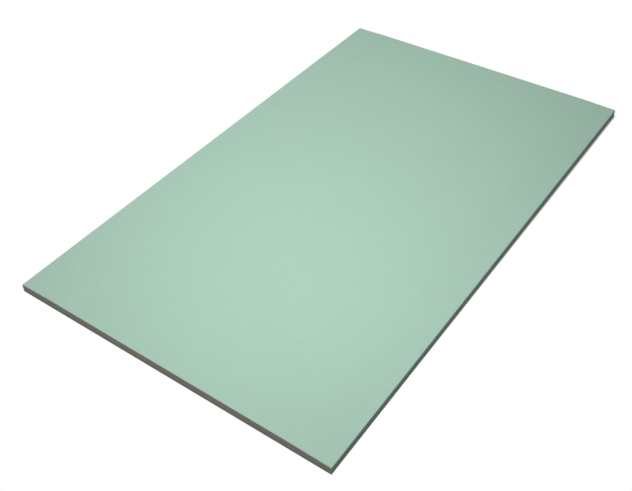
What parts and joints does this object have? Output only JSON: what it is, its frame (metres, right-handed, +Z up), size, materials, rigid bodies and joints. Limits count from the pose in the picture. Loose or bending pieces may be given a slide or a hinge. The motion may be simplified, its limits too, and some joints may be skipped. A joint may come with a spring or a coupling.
{
  "type": "drywall sheet",
  "caption": "Flat gypsum drywall sheet with a green moisture-resistant face paper folded round its tapered long edges, grey back paper and square-cut ends.",
  "frame": {"origin": "middle of the sheet's back, on the surface that it lies on", "axes": "+X across the width, +Y along the length and the tapered edges, +Z up out of the green face"},
  "size_m": [0.6, 1, 0.016],
  "materials": {
    "gypsum": "matte",
    "green_face_paper": "matte",
    "grey_back_paper": "matte"
  },
  "bodies": {
    "root": {"gypsum_core": "gypsum", "face_paper": "green_face_paper", "back_paper": "grey_back_paper"}
  },
  "joints": []
}
